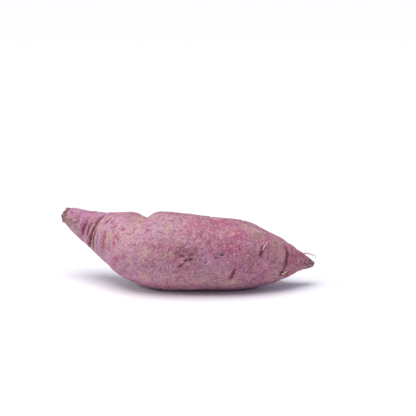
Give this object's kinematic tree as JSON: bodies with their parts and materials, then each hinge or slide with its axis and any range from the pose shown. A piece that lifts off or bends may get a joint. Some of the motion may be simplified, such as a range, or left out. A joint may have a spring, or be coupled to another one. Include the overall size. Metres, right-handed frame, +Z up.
{
  "type": "purple sweet potato",
  "caption": "Whole purple sweet potato: one storage root with a round belly, a neck that bends back and up to the crown, and a short tapered tail.",
  "frame": {"origin": "on the ground, under the middle of the root's bounding box, as it lies on its belly", "axes": "+X from the crown, the end that grew on the vine, to the tail; +Z up; -Y the side that the root bulges towards"},
  "size_m": [0.1748, 0.0666, 0.0525],
  "materials": {
    "skin": "dusty mauve-pink root skin, matt to satin, with magenta blushes, tan scars and brown folds"
  },
  "bodies": {
    "root": {"sweet_potato": "skin"}
  },
  "joints": []
}
